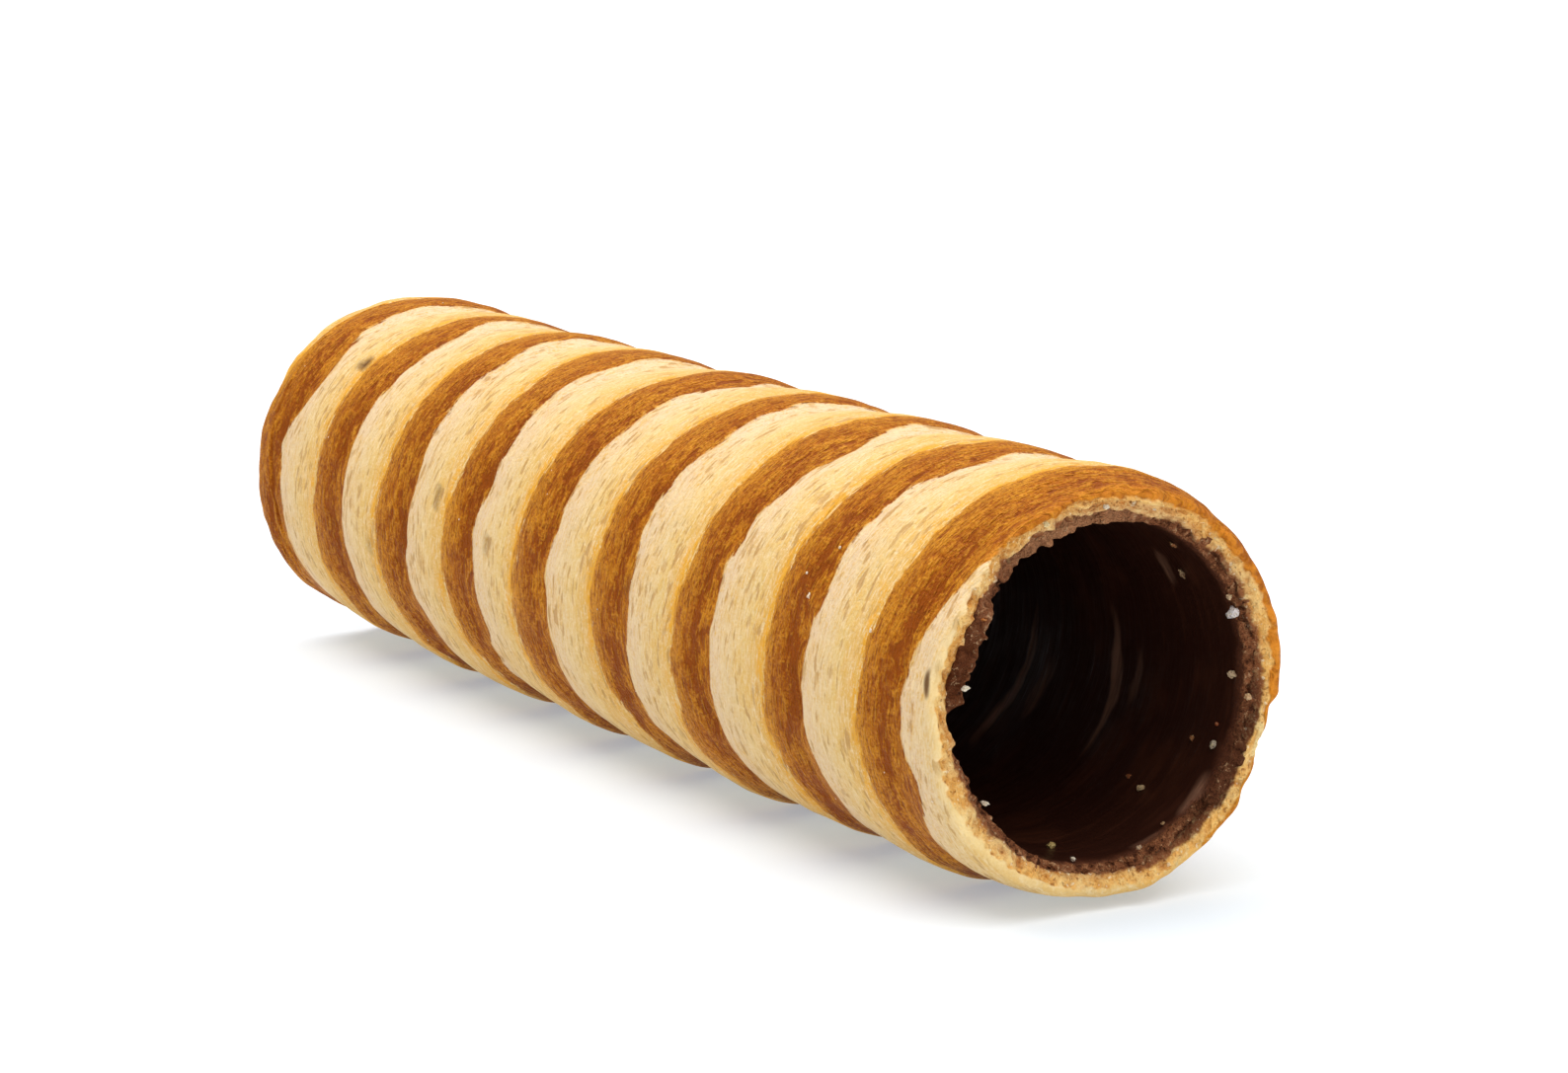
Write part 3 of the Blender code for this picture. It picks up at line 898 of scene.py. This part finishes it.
RIM_OVERLAP = 3.2 * MM           # how much of the skin each rim piece carries
RIM_MEET = 2.7 * MM              # where rim and wall meet
WALL_STOP = 2.2 * MM             # where the wall ends, under the rim
DIVE = 0.35 * MM                 # how deep each goes under the other
COAT_FINE_NEAR = 2.2 * MM        # how much of the coat is cut finer at the near end
COAT_FINE_FAR = 1.2 * MM         # and at the far end
COAT_FINE_CUTS = 2
CORNER_ROUNDING = 0.95 * MM      # how much of the rim's outer corner is rounded over
CRUMB_SUNK = 0.08 * MM           # how far the torn crumb lies below the skin's smooth course
# How finely each piece is cut: its outer, inner, low-end and high-end side, then steps round.
WALL_CUTS = (392, 5, 1, 1), 230
NEAR_RIM_CUTS = (25, 12, 0, 26), 900
FAR_RIM_CUTS = (25, 12, 26, 0), 900
COAT_CUTS = (200, 200, 2, 2), 240


def spot_tone(along, angle, form):
    """How dark a scorched spot makes the skin here."""
    round_mm = form.skin / MM * math.radians(1.0)
    tone = 0.0
    for spot_along, degrees, half_width, half_round, depth in SKIN_SPOTS:
        off_along = (along / MM - spot_along) / half_width
        off_round = (math.degrees(angle) - degrees) * round_mm / half_round
        distance = off_along ** 2 + off_round ** 2
        if distance < 9.0:
            wobble = 1.0 + 0.35 * form.uneven(along, angle, 0.9 * MM, 90.0)
            tone = max(tone, depth * smooth_step(1.9 - distance * wobble, 0.0, 1.8))
    return tone


def shape_wall(piece, form):
    """Gives the plain tube its turns, creases, ribs and worn places."""
    mesh = piece.data
    strays, spots, creases = [], [], []
    wall_end = form.half - WALL_STOP
    for point in mesh.vertices:
        along, radius, angle = unrolled(point)
        if radius > 0.5 * (form.bore + form.skin):
            radius += form.skin_offset(along, angle) + form.skin_detail(along, angle)
            radius -= DIVE * smooth_step(abs(along), form.half - RIM_MEET, wall_end)
            strays.append((*form.strays(along, angle), form.crease_stray(along, angle)))
            spots.append(spot_tone(along, angle, form))
            creases.append(form.crease_strength(along, angle))
        else:
            strays.append((0.0, 0.0, 0.0))
            spots.append(0.0)
            creases.append(0.0)
        along += form.ragged_end(along, angle, form.raggedness)
        point.co = form.place(along, angle, radius)
        point.co.z = max(point.co.z, 0.0)
    keep_values(mesh, strays=strays, spots=spots, crease=creases)


def lip_width(degrees, near):
    """How far the skin reaches over the broken edge, in millimetres."""
    if not near:
        return 0.75 + 0.2 * math.cos(math.radians(degrees * 2.0 + 40.0))
    return profile(
        degrees, 0.90, (134, 20, -0.62), (190, 44, -0.72), (85, 26, -0.25), (30, 40, 0.12), (309, 24, -0.4),
        (337, 9, -0.8))


def crumb_reach(point, degrees, near):
    """How far the crumb stands into the bore at the rim, in millimetres."""
    ragged = 0.20 * noise.noise(point / MM / 1.5) + 0.10 * noise.noise(point / MM / 0.55)
    if not near:
        return 0.25 + ragged
    return ragged + profile(
        degrees, 0.22, (80, 42, 0.40), (20, 34, 0.26), (132, 16, 0.20), (182, 6, -0.30), (212, 26, 0.50))


def pit_share(where, spacing, reach, shift, patch, limits):
    """1 in the middle of scattered pits and 0 outside them; they come in patches."""
    nearest = noise.voronoi(where / spacing + shift[0])[0][0]
    patched = noise.noise(where / patch + shift[1])
    return smooth_step(nearest, reach, 0.1) * smooth_step(patched, *limits)


def crumb_relief(point, form, degrees, near):
    """The broken dough's height from its pits, flakes and torn layers, how deep in a pit, and its grain."""
    where = point / MM
    pit = pit_share(where, 1.35, 0.46, (Vector(), Vector((9.0, 0.0, 0.0))), 2.2, (-0.25, 0.15))
    fine_shifts = Vector((7.0, 0.0, 0.0)), Vector((0.0, 5.0, 0.0))
    fine_pit = pit_share(where, 0.62, 0.38, fine_shifts, 1.1, (-0.2, 0.2))
    flake = noise.noise(where / 1.1)
    grain = noise.noise(where / 0.5) + 0.5 * noise.noise(where / 0.24)
    ridge = 0.3 - abs(noise.noise(where / 0.9 + Vector((3.0, 3.0, 0.0))))
    depth = 0.7 * flake + 1.1 * ridge + 0.45 * grain - 0.8 * pit - 0.35 * fine_pit
    if near:
        # Torn layers, 0.7 mm apart, show at the top.
        radius = math.hypot(point.y, point.z - form.axis_height(point.x)) / MM
        wave = math.sin(math.tau * (radius / 0.7 + 0.9 * noise.noise(where / 1.8)))
        depth += around(degrees, 88.0, 34.0) * wave
    return form.crumb * depth, max(pit, 0.7 * fine_pit), flake + 0.6 * grain


def rim_tint(degrees, near, colours, grain, pit, broad, inwards):
    """Colour of the crumb before its fine grain, from how far in it lies from the skin, in mm."""
    layers = {"outer": CRUMB_OUTER, "middle": colours["crumb"], "inner": CRUMB_INNER}
    soak_start = 2.1
    if near:
        for layer, shade, *hills in CRUMB_TINTS:
            layers[layer] = blend(layers[layer], shade, profile(degrees, 0.0, *hills))
        soak_start = profile(
            degrees, 2.35, (300, 26, -0.8), (350, 22, -0.85), (135, 10, -0.65), (151, 9, 0.3), (80, 14, 0.55),
            (112, 10, -0.3))
    place = inwards + 0.35 * broad
    tint = blend(layers["outer"], layers["middle"], smooth_step(place, 0.5, 1.3))
    tint = blend(tint, layers["inner"], smooth_step(place, 1.4, 2.3))
    # A paler tint with a painted highlight on raised crumb, then painted shade in the pits.
    tint = blend(tint, colours["crumb_pale_and_highlight"], 0.12 + 0.35 * grain + 0.2 * broad)
    tint = blend(tint, colours["crumb_pit_shade"], 0.6 * pit - 0.25 * grain)
    # Chocolate that soaked into the crumb's inner part.
    soaked = smooth_step(place - 0.25 * grain, soak_start - 0.2, soak_start + 0.15)
    chocolate = blend(*SOAKED, smooth_step(place, soak_start, soak_start + 0.8))
    if near:
        chocolate = blend(chocolate, SOAKED_LOW, 0.6 * around(degrees, 326.0, 26.0))
    return blend(tint, chocolate, soaked)


def shape_rim(piece, form, colours, side):
    """Shapes one broken end: skin turned over the edge, pitted crumb, and a lip inside the bore."""
    mesh = piece.data
    near = side > 0.0
    wall = form.skin - form.bore
    begin = form.half - RIM_OVERLAP
    kept = {name: [] for name in ("crumb", "crumb_tint", "strays", "spots", "crease", "edge_bake")}
    torn = []
    for point in mesh.vertices:
        along, radius, angle = unrolled(point)
        reach = abs(along)
        degrees = math.degrees(angle)
        depth = (form.skin - radius) / wall
        on_skin = depth < 0.002
        on_bore = depth > 0.998
        from_end_mm = (form.half - reach) / MM
        # The way from the sharp edge: below zero on the skin, then across the face and into the bore.
        if on_skin:
            path_mm = -from_end_mm
        elif from_end_mm < 0.001:
            path_mm = depth * wall / MM
        else:
            path_mm = wall / MM + from_end_mm
        offset = form.skin_offset(along, angle) + form.skin_detail(along, angle)
        kept["spots"].append(spot_tone(along, angle, form) if depth < 0.6 else 0.0)
        # The crumb stands into the bore beyond the wall's plain inside.
        rim_point = Vector((side * form.half, form.bore * math.cos(angle), form.bore * math.sin(angle)))
        inwards = crumb_reach(rim_point, degrees, near) * MM
        radius -= inwards * min(depth, 1.0) * (1.0 - smooth_step(from_end_mm, 0.8, 2.2))
        # The face leans in towards the bore, less beside the slab.
        lean = form.face_depth * (1.0 - 0.45 * around(degrees, 160.0, 24.0)) if near else form.face_depth
        shift = lean * depth ** 1.5 * min(max((reach - begin) / RIM_OVERLAP, 0.0), 1.0)
        new_reach = reach - shift
        # The outer corner is rounded over, less at the lower right.
        round_share = profile(degrees, 1.0, (326, 20, -0.8), (8, 26, -0.5)) if near else 1.0
        if not on_bore:
            from_corner = form.half - reach if on_skin else depth * wall
            corner = max(0.0, 1.0 - from_corner / CORNER_ROUNDING)
            new_reach -= 0.25 * CORNER_ROUNDING * corner ** 2
            radius -= 0.30 * CORNER_ROUNDING * round_share * corner ** (2 if on_skin else 1)
        from_skin_mm = (form.skin - radius) / MM + (from_end_mm if on_bore else 0.0)
        radius += (1.0 - min(depth, 1.0)) * offset
        if on_skin:
            radius -= DIVE * (1.0 - smooth_step(reach, begin, form.half - RIM_MEET))
        along = side * new_reach
        along += form.ragged_end(side * reach, angle, form.raggedness)
        frays = noise.noise(Vector((5.0 * side, 15.0 * math.cos(angle) / 1.1, 15.0 * math.sin(angle) / 1.1)))
        along += side * 0.16 * MM * frays * smooth_step(reach, form.half - 1.5 * MM, form.half)
        point.co = form.place(along, angle, radius)
        # How far the skin's torn edge has been passed.
        where = point.co / MM
        edge = lip_width(degrees, near) + 0.45 * noise.noise(where / 1.5) + 0.34 * noise.noise(where / 0.5)
        mask = smooth_step(path_mm, edge - 0.16, edge + 0.16)
        kept["crumb"].append(mask)
        kept["strays"].append((*form.strays(along, angle), form.crease_stray(along, angle)))
        kept["crease"].append(form.crease_strength(along, angle))
        # Baked orange on the brown skin near the rim, and a painted highlight on the cream there, stronger at
        # some angles.
        bake_and_highlight = profile(degrees, 0.35, (60, 70, 0.6), (0, 30, 0.4), (200, 50, 0.6)) if near else 0.6
        kept["edge_bake"].append(bake_and_highlight * smooth_step(path_mm + 0.5 * noise.noise(where / 1.2), -1.3, 0.5))
        in_bore = smooth_step(path_mm, wall / MM + 0.6, wall / MM + 2.0)
        torn.append((from_skin_mm, mask * (1.0 - in_bore), degrees))
    mesh.update()
    moves = []
    for point, normal, (from_skin_mm, strength, degrees) in zip(mesh.vertices, mesh.vertex_normals, torn):
        relief, pit, grain = crumb_relief(point.co, form, degrees, near)
        moves.append(Vector(normal.vector) * (relief - CRUMB_SUNK) * strength)
        broad = noise.noise(point.co / MM / 2.0)
        kept["crumb_tint"].append((*rim_tint(degrees, near, colours, grain, pit, broad, from_skin_mm), 1.0))
    for point, move in zip(mesh.vertices, moves):
        point.co += move
        point.co.z = max(point.co.z, 0.0)
    keep_values(mesh, **kept)


def shape_coat(piece, form):
    """Gives the chocolate its soft waves inside, its ragged broken ends and the thick slab."""
    mesh = piece.data
    end = form.half - form.recess
    broken, lit_dull_shares = [], []
    for point in mesh.vertices:
        along, radius, angle = unrolled(point)
        degrees = math.degrees(angle)
        inner_share = (form.coat_outside - radius) / (form.coat_outside - form.coat_inside)
        slab = form.slab(along, angle)
        to_end = end - abs(along)
        side = math.copysign(1.0, along)
        swirl = math.tau * (form.turns(along, angle) - 0.3)
        wave = 0.05 * MM * math.cos(swirl) + 0.07 * MM * form.uneven(along, angle, 4.5 * MM, 61.0)
        wave += 0.025 * MM * form.uneven(along, angle, 1.6 * MM, 64.0)
        # The coat thins out towards its ends, more on one side.
        thin = 0.16 * MM
        if side > 0.0:
            thin = MM * profile(
                degrees, 0.16, (184, 7, 0.55), (218, 20, -0.40), (45, 40, -0.06), (105, 32, -0.74))
        wave -= thin * (1.0 - smooth_step(to_end, 0.2 * MM, 3.0 * MM)) * (1.0 - slab)
        radius -= inner_share * (form.slab_extra * slab + wave)
        edge = 1.0 - smooth_step(to_end, 0.0, 1.6 * MM)
        ragged = 0.34 * form.uneven(side * 3.0, angle, 1.5 * MM, 81.0)
        ragged += 0.24 * form.uneven(side * 3.0, angle, 0.55 * MM, 84.0)
        shift = form.ragged_end(along, angle, form.coat_raggedness) + form.slab_reach * slab
        if side > 0.0:
            shift += form.coat_advance * around(degrees, 338.0, 44.0) * edge
        shift += side * edge * MM * ragged
        # The broken face leans: its outer side stands further out.
        shift -= side * edge * inner_share * 0.35 * MM
        along += shift
        torn = 0.10 * MM * form.uneven(side * 3.0, angle, 0.9 * MM, 91.0) * edge * inner_share
        point.co = form.place(along, angle, radius + torn)
        where = point.co / MM
        limit = 0.10 + 0.20 * noise.noise(where / 0.9) + 0.45 * slab
        broken.append(1.0 - smooth_step(to_end / MM, limit, limit + 0.25))
        # How far in from each end the chocolate is duller and gets painted light.
        reach = profile(degrees, 0.8, (15, 50, 0.6), (80, 40, 0.5)) + 0.8 * noise.noise(where / 1.8)
        lit_dull_shares.append(1.0 - smooth_step(to_end / MM, 0.2, 0.3 + max(reach, 0.1)))
    mesh.update()
    moves = []
    for point, normal, strength in zip(mesh.vertices, mesh.vertex_normals, broken):
        where = point.co / MM
        relief = 0.20 * noise.noise(where / 0.8) + 0.10 * noise.noise(where / 0.34)
        moves.append(Vector(normal.vector) * (relief * strength * MM))
    for point, move in zip(mesh.vertices, moves):
        point.co += move
    keep_values(mesh, broken=broken, dull=lit_dull_shares)


# Crumbs: along in mm, angle, half sizes along, round and out in mm, then colour on a screen.
CRUMBS = (
    (54.1, 21.0, 0.42, 0.36, 0.40, 236, 228, 226),
    (54.15, 27.0, 0.20, 0.18, 0.20, 222, 190, 150),
    (53.0, 358.0, 0.34, 0.24, 0.28, 216, 186, 150),
    (55.0, 352.0, 0.26, 0.22, 0.24, 214, 176, 132),
    (51.1, 48.0, 0.24, 0.30, 0.14, 150, 96, 60),
    (49.2, 32.0, 0.22, 0.42, 0.14, 150, 118, 88),
    (48.1, 310.0, 0.30, 0.24, 0.22, 190, 160, 120),
    (46.0, 313.0, 0.24, 0.16, 0.14, 140, 76, 42),
    (52.6, 333.0, 0.24, 0.30, 0.20, 170, 156, 136),
    (50.1, 333.0, 0.18, 0.18, 0.14, 150, 96, 60),
    (49.5, 266.0, 0.26, 0.30, 0.24, 206, 178, 112),
    (53.4, 262.0, 0.17, 0.15, 0.16, 232, 218, 196),
    (52.2, 340.0, 0.14, 0.14, 0.12, 150, 70, 40),
    (54.2, 286.0, 0.16, 0.22, 0.12, 190, 160, 130),
    (53.2, 300.0, 0.12, 0.12, 0.10, 176, 140, 100),
    (-52.5, 250.0, 0.26, 0.24, 0.20, 214, 182, 130),
    (-50.8, 281.0, 0.20, 0.24, 0.18, 222, 196, 150),
    (-53.6, 300.0, 0.22, 0.18, 0.16, 196, 132, 70),
    (-47.5, 262.0, 0.18, 0.20, 0.14, 216, 184, 134),
)
# The same at the near rim's face, with the radius in mm in place of the place along.
RIM_CRUMBS = (
    (11.75, 172.0, 0.16, 0.30, 0.20, 240, 228, 204),
    (12.0, 149.0, 0.14, 0.26, 0.30, 196, 110, 44),
    (11.85, 213.0, 0.14, 0.18, 0.40, 240, 228, 206),
    (13.3, 114.0, 0.22, 0.42, 0.26, 250, 226, 168),
    (12.5, 163.0, 0.12, 0.14, 0.14, 196, 170, 136),
    (12.4, 156.0, 0.10, 0.12, 0.12, 206, 178, 140),
    (12.9, 92.0, 0.16, 0.22, 0.14, 240, 226, 200),
    (13.1, 82.0, 0.14, 0.16, 0.14, 232, 214, 184),
    (12.8, 74.0, 0.14, 0.18, 0.12, 236, 220, 190),
)

RIM_CRUMB_BACK = 0.55 * MM       # how far behind the tube's end those on the rim lie
# White flecks: the large ones' place along in mm, angle and size, then how many there are in all.
LARGE_FLECKS = (
    (38.2, 158.6, 1.5), (47.7, 162.3, 1.3), (39.3, 143.5, 0.9), (37.5, 153.0, 0.8), (53.6, 205.0, 0.8))
FLECK_COUNT = 34
FLECK_SEED = 5
FLECKED_SHARE = 0.45             # they lie on this first share of each turn, which is brown
FLECK_SHAPE = (0.11, 0.14, 0.07)
FLECK_RISE = 0.01 * MM


def add_crumb(place, out, half_sizes, shade, seed):
    """One broken crumb, from a ball that is squashed and torn; its half sizes are in millimetres."""
    deselect_all()
    bpy.ops.mesh.primitive_ico_sphere_add(subdivisions=3, radius=1.0, location=(0.0, 0.0, 0.0))
    crumb = bpy.context.object
    outwards = out.normalized()
    along = Vector((1.0, 0.0, 0.0))
    if abs(outwards.x) > 0.9:
        along = Vector((0.0, 0.0, 1.0))
    sideways = outwards.cross(along).normalized()
    along = sideways.cross(outwards)
    shift = Vector((seed * 3.7, seed * 1.3, 0.0))
    for point in crumb.data.vertices:
        bumpy = 1.0 + 0.55 * noise.noise(point.co * 1.3 + shift)
        bumpy += 0.3 * noise.noise(point.co * 3.1 + shift)
        local = point.co * bumpy
        point.co = place + (
            along * local.x * half_sizes[0] + sideways * local.y * half_sizes[1]
            + outwards * local.z * half_sizes[2]) * MM
    keep_values(crumb.data, tint=[(*srgb(*shade), 1.0)] * len(crumb.data.vertices))
    return crumb


def join_pieces(pieces, name):
    choose(pieces)
    bpy.ops.object.join()
    joined = bpy.context.object
    joined.name = joined.data.name = name
    return joined


# ---------------------------------------------------------------- operators

class PASTRY_OT_tube_wall(bpy.types.Operator):
    """Models the striped skin between the two rims"""
    bl_idname = "pastry.tube_wall"
    bl_label = "Tube wall"

    def execute(self, context):
        form = TubeForm(context.scene.pastry_sizes)
        wall_end = form.half - WALL_STOP
        piece = turned_section("tube_wall", -wall_end, wall_end, form.bore, form.skin, *WALL_CUTS)
        shape_wall(piece, form)
        finish_piece(piece, dough_material(form, context.scene.pastry_skin))
        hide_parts("pastry_tube")
        return {"FINISHED"}


class PASTRY_OT_broken_rims(bpy.types.Operator):
    """Models the two broken ends with their pitted crumb"""
    bl_idname = "pastry.broken_rims"
    bl_label = "Broken rims"

    def execute(self, context):
        form = TubeForm(context.scene.pastry_sizes)
        skin = context.scene.pastry_skin
        colours = {name: tuple(getattr(skin, name)) for name in ("crumb", "crumb_pale_and_highlight", "crumb_pit_shade")}
        material = bpy.data.materials.get("striped_dough")
        if material is None:
            raise RuntimeError("Make the tube wall first: the rims share its material")
        for name, side, cuts in (("near_rim", 1.0, NEAR_RIM_CUTS), ("far_rim", -1.0, FAR_RIM_CUTS)):
            ends = sorted((side * (form.half - RIM_OVERLAP), side * form.half))
            rim = turned_section(name, *ends, form.bore, form.skin, *cuts)
            shape_rim(rim, form, colours, side)
            finish_piece(rim, material)
        return {"FINISHED"}


class PASTRY_OT_chocolate_coat(bpy.types.Operator):
    """Models the chocolate coat inside the tube"""
    bl_idname = "pastry.chocolate_coat"
    bl_label = "Chocolate coat"

    def execute(self, context):
        form = TubeForm(context.scene.pastry_sizes)
        end = form.half - form.recess
        piece = turned_section("chocolate_coat", -end, end, form.coat_inside, form.coat_outside, *COAT_CUTS)
        choose([piece])
        bpy.ops.object.mode_set(mode="EDIT")
        cut_where(piece, "faces", lambda centre: centre.x > end - COAT_FINE_NEAR, COAT_FINE_CUTS)
        cut_where(piece, "faces", lambda centre: centre.x < COAT_FINE_FAR - end, COAT_FINE_CUTS)
        bpy.ops.object.mode_set(mode="OBJECT")
        shape_coat(piece, form)
        finish_piece(piece, chocolate_material(form, context.scene.pastry_chocolate))
        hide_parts("chocolate_lining")
        return {"FINISHED"}


class PASTRY_OT_loose_crumbs(bpy.types.Operator):
    """Models the crumbs that lie in the bore and stick to the rim"""
    bl_idname = "pastry.loose_crumbs"
    bl_label = "Loose crumbs"

    def execute(self, context):
        form = TubeForm(context.scene.pastry_sizes)
        made = []
        for index, (along_mm, degrees, *rest) in enumerate(CRUMBS):
            angle = math.radians(degrees)
            place = form.place(along_mm * MM, angle, form.coat_inside - 0.5 * rest[2] * MM)
            inwards = Vector((0.0, -math.cos(angle), -math.sin(angle)))
            made.append(add_crumb(place, inwards, rest[:3], rest[3:], index + 1))
        for index, (radius_mm, degrees, *rest) in enumerate(RIM_CRUMBS):
            angle = math.radians(degrees)
            place = form.place(form.half - RIM_CRUMB_BACK, angle, radius_mm * MM)
            made.append(add_crumb(place, Vector((1.0, 0.0, 0.0)), rest[:3], rest[3:], index + 40))
        piece = join_pieces(made, "loose_crumbs")
        finish_piece(piece, crumb_material(context.scene.pastry_skin))
        return {"FINISHED"}


class PASTRY_OT_white_flecks(bpy.types.Operator):
    """Models the tiny white grains on the skin"""
    bl_idname = "pastry.white_flecks"
    bl_label = "White flecks"

    def execute(self, context):
        form = TubeForm(context.scene.pastry_sizes)
        draw = random.Random(FLECK_SEED)
        places = list(LARGE_FLECKS)
        while len(places) < FLECK_COUNT:
            along_mm = draw.uniform(-52.0, 52.0)
            degrees = draw.uniform(-50.0, 230.0)
            if form.turns(along_mm * MM, math.radians(degrees)) % 1.0 < FLECKED_SHARE:
                places.append((along_mm, degrees, draw.uniform(0.3, 0.6)))
        made = []
        for index, (along_mm, degrees, size) in enumerate(places):
            along, angle = along_mm * MM, math.radians(degrees)
            radius = form.skin + form.skin_offset(along, angle) + form.skin_detail(along, angle) + FLECK_RISE
            place = form.place(along, angle, radius)
            outwards = Vector((0.0, math.cos(angle), math.sin(angle)))
            deselect_all()
            bpy.ops.mesh.primitive_ico_sphere_add(subdivisions=2, radius=1.0, location=(0.0, 0.0, 0.0))
            fleck = bpy.context.object
            turn = outwards.to_track_quat("Z", "Y").to_matrix()
            shift = Vector((index * 2.3, 0.0, 0.0))
            for point in fleck.data.vertices:
                uneven = 1.0 + 0.7 * noise.noise(point.co * 1.5 + shift)
                local = Vector(share * value for share, value in zip(FLECK_SHAPE, point.co))
                point.co = place + turn @ (local * uneven * size * MM)
            made.append(fleck)
        piece = join_pieces(made, "white_flecks")
        finish_piece(piece, fleck_material())
        return {"FINISHED"}


# The stage, in metres; the softboxes stand off from the point that the camera looks at.
FLOOR_SIZE = 6.0
OVERHEAD_PLACE = Vector((-0.3, 0.2, 2.2))
OVERHEAD_SIZE = 4.4
KEY_FROM_AIM = Vector((-0.25, -0.35, 0.75))
END_FROM_AIM = Vector((0.60, 0.02, 0.38))
SOFTBOX_SIZE = 0.5


class PASTRY_OT_stage(bpy.types.Operator):
    """Sets the pale floor, the soft lights and the camera"""
    bl_idname = "pastry.stage"
    bl_label = "Stage"

    def execute(self, context):
        stage = context.scene.pastry_stage
        deselect_all()
        bpy.ops.mesh.primitive_plane_add(size=FLOOR_SIZE, location=(0.0, 0.0, 0.0))
        floor = context.object
        floor.name = floor.data.name = "floor"
        floor.data.materials.append(floor_material())

        aim = Vector(stage.aim)
        level, rise = math.cos(stage.elevation), math.sin(stage.elevation)
        back = Vector((math.sin(stage.azimuth) * level, -math.cos(stage.azimuth) * level, rise))
        below = Vector((OVERHEAD_PLACE.x, OVERHEAD_PLACE.y, 0.0))
        self.add_light("overhead_light", OVERHEAD_PLACE, below, OVERHEAD_SIZE, stage.overhead)
        self.add_light("key_light", aim + KEY_FROM_AIM, aim, SOFTBOX_SIZE, stage.key)
        self.add_light("end_light", aim + END_FROM_AIM, aim, SOFTBOX_SIZE, stage.end_light)

        world = bpy.data.worlds.new("even_light")
        context.scene.world = world
        world.use_nodes = True
        background = world.node_tree.nodes["Background"]
        background.inputs["Color"].default_value = (1.0, 1.0, 1.0, 1.0)
        background.inputs["Strength"].default_value = stage.sky

        bpy.ops.object.camera_add(location=aim + back * stage.distance)
        camera = context.object
        camera.name = camera.data.name = "camera"
        camera.rotation_euler = back.to_track_quat("Z", "Y").to_euler()
        camera.data.sensor_fit = "HORIZONTAL"
        camera.data.sensor_width = 36.0
        camera.data.lens = stage.lens
        camera.data.clip_start = 0.01
        camera.data.clip_end = 20.0
        context.scene.camera = camera
        context.scene.view_settings.view_transform = "Standard"
        context.scene.view_settings.look = "None"
        return {"FINISHED"}

    @staticmethod
    def add_light(name, place, aim, size, power):
        bpy.ops.object.light_add(type="AREA", location=place)
        light = bpy.context.object
        light.name = light.data.name = name
        light.rotation_euler = (place - aim).to_track_quat("Z", "Y").to_euler()
        light.data.shape = "DISK"
        light.data.size = size
        light.data.energy = power


OPERATORS = (
    PASTRY_OT_tube_wall, PASTRY_OT_broken_rims, PASTRY_OT_chocolate_coat,
    PASTRY_OT_loose_crumbs, PASTRY_OT_white_flecks, PASTRY_OT_stage,
)
GROUPS = {
    "pastry_sizes": TubeSizes, "pastry_skin": SkinColours,
    "pastry_chocolate": ChocolateColours, "pastry_stage": StageSettings,
}


class PASTRY_PT_panel(bpy.types.Panel):
    """Lists the steps and the settings"""
    bl_idname = "PASTRY_PT_panel"
    bl_label = "Striped pastry tube"
    bl_space_type = "VIEW_3D"
    bl_region_type = "UI"
    bl_category = "Pastry"

    def draw(self, context):
        for operator in OPERATORS:
            self.layout.operator(operator.bl_idname)
        for group in GROUPS:
            settings = getattr(context.scene, group)
            box = self.layout.box()
            for name in settings.__annotations__:
                box.prop(settings, name)


def register():
    for group in (*GROUPS.values(), *OPERATORS, PASTRY_PT_panel):
        bpy.utils.register_class(group)
    for name, group in GROUPS.items():
        setattr(bpy.types.Scene, name, PointerProperty(type=group))


def unregister():
    for name in GROUPS:
        delattr(bpy.types.Scene, name)
    for group in reversed((*GROUPS.values(), *OPERATORS, PASTRY_PT_panel)):
        bpy.utils.unregister_class(group)


def main():
    register()
    bpy.ops.pastry.tube_wall()
    bpy.ops.pastry.broken_rims()
    bpy.ops.pastry.chocolate_coat()
    bpy.ops.pastry.loose_crumbs()
    bpy.ops.pastry.white_flecks()
    bpy.ops.pastry.stage()


if __name__ == "__main__":
    main()
